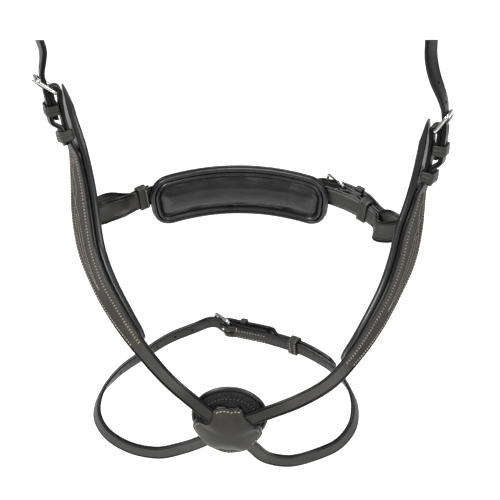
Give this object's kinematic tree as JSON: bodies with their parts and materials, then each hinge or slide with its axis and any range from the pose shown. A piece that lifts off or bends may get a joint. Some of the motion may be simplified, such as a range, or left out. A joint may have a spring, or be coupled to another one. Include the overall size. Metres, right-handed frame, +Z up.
{
  "type": "figure-eight bridle noseband with cheek pieces",
  "caption": "Black leather figure-eight noseband: two crossed straps under a padded nose disc, padded jaw strap, chin buckle, and cheek pieces hung from cut headpiece straps.",
  "frame": {"origin": "middle of the horse's head between the cut ends of the two headpiece straps", "axes": "+Z up along the hanging cheek pieces, -Y towards the front of the nose, +X towards the jaw strap's buckle"},
  "size_m": [0.3764, 0.2395, 0.3744],
  "materials": {
    "black_leather": "waxed bridle leather with dyed edges",
    "soft_black_leather": "soft smooth padded leather",
    "black_fleece": "black fleece",
    "steel": "polished stainless wire"
  },
  "bodies": {
    "noseband": {"left_cross_strap": "black_leather", "right_cross_strap": "black_leather", "left_cheek_lining": "soft_black_leather", "right_cheek_lining": "soft_black_leather", "left_headpiece_strap": "black_leather", "right_headpiece_strap": "black_leather", "left_fixed_keeper": "black_leather", "right_fixed_keeper": "black_leather", "chin_fixed_keeper": "black_leather", "jaw_strap": "black_leather", "jaw_billet": "black_leather", "jaw_fixed_keeper": "black_leather", "left_jaw_keeper": "black_leather", "right_jaw_keeper": "black_leather", "jaw_pad_backing": "black_leather", "jaw_pad_piping": "soft_black_leather", "jaw_pad_cushion": "soft_black_leather", "nose_pad": "black_fleece", "nose_pad_piping": "soft_black_leather", "nose_cover": "black_leather"},
    "left_buckle_frame": {"left_buckle_frame": "steel"},
    "left_buckle_tongue": {"left_buckle_tongue": "steel"},
    "right_buckle_frame": {"right_buckle_frame": "steel"},
    "right_buckle_tongue": {"right_buckle_tongue": "steel"},
    "chin_buckle_frame": {"chin_buckle_frame": "steel"},
    "chin_buckle_tongue": {"chin_buckle_tongue": "steel"},
    "jaw_buckle_frame": {"jaw_buckle_frame": "steel"},
    "jaw_buckle_tongue": {"jaw_buckle_tongue": "steel"},
    "left_sliding_keeper": {"left_sliding_keeper": "black_leather"},
    "right_sliding_keeper": {"right_sliding_keeper": "black_leather"},
    "chin_sliding_keeper": {"chin_sliding_keeper": "black_leather"}
  },
  "joints": [
    {"name": "left_frame_hinge", "type": "hinge", "parent": "noseband", "child": "left_buckle_frame", "pos_m": [-0.16126, -0.01189, -0.04494], "axis": [0.2794, -0.9239, 0.2614], "range_deg": [0, 10]},
    {"name": "left_tongue_hinge", "type": "hinge", "parent": "left_buckle_frame", "child": "left_buckle_tongue", "pos_m": [-0.16126, -0.01189, -0.04494], "axis": [0.2794, -0.9239, 0.2614], "range_deg": [0, 25]},
    {"name": "right_frame_hinge", "type": "hinge", "parent": "noseband", "child": "right_buckle_frame", "pos_m": [0.17956, -0.01716, -0.08313], "axis": [0.2636, 0.9228, -0.2808], "range_deg": [0, 10]},
    {"name": "right_tongue_hinge", "type": "hinge", "parent": "right_buckle_frame", "child": "right_buckle_tongue", "pos_m": [0.17956, -0.01716, -0.08313], "axis": [0.2636, 0.9228, -0.2808], "range_deg": [0, 25]},
    {"name": "chin_frame_hinge", "type": "hinge", "parent": "noseband", "child": "chin_buckle_frame", "pos_m": [-0.01583, 0.02016, -0.35169], "axis": [0.0535, -0.0216, -0.9983], "range_deg": [0, 10]},
    {"name": "chin_tongue_hinge", "type": "hinge", "parent": "chin_buckle_frame", "child": "chin_buckle_tongue", "pos_m": [-0.01583, 0.02016, -0.35169], "axis": [0.0535, -0.0216, -0.9983], "range_deg": [0, 25]},
    {"name": "jaw_frame_hinge", "type": "hinge", "parent": "noseband", "child": "jaw_buckle_frame", "pos_m": [0.09614, 0.01401, -0.17899], "axis": [-0.0953, 0.0411, -0.9946], "range_deg": [0, 10]},
    {"name": "jaw_tongue_hinge", "type": "hinge", "parent": "jaw_buckle_frame", "child": "jaw_buckle_tongue", "pos_m": [0.09614, 0.01401, -0.17899], "axis": [-0.0953, 0.0411, -0.9946], "range_deg": [0, 25]},
    {"name": "left_sliding_keeper_slide", "type": "slide", "parent": "noseband", "child": "left_sliding_keeper", "axis": [-0.2294, 0.4097, 0.8829], "range_m": [-0.001, 0.001]},
    {"name": "right_sliding_keeper_slide", "type": "slide", "parent": "noseband", "child": "right_sliding_keeper", "axis": [0.1297, 0.2911, 0.9479], "range_m": [-0.001, 0.001]},
    {"name": "chin_sliding_keeper_slide", "type": "slide", "parent": "noseband", "child": "chin_sliding_keeper", "axis": [-0.8574, 0.512, -0.0519], "range_m": [-0.002, 0.002]}
  ]
}
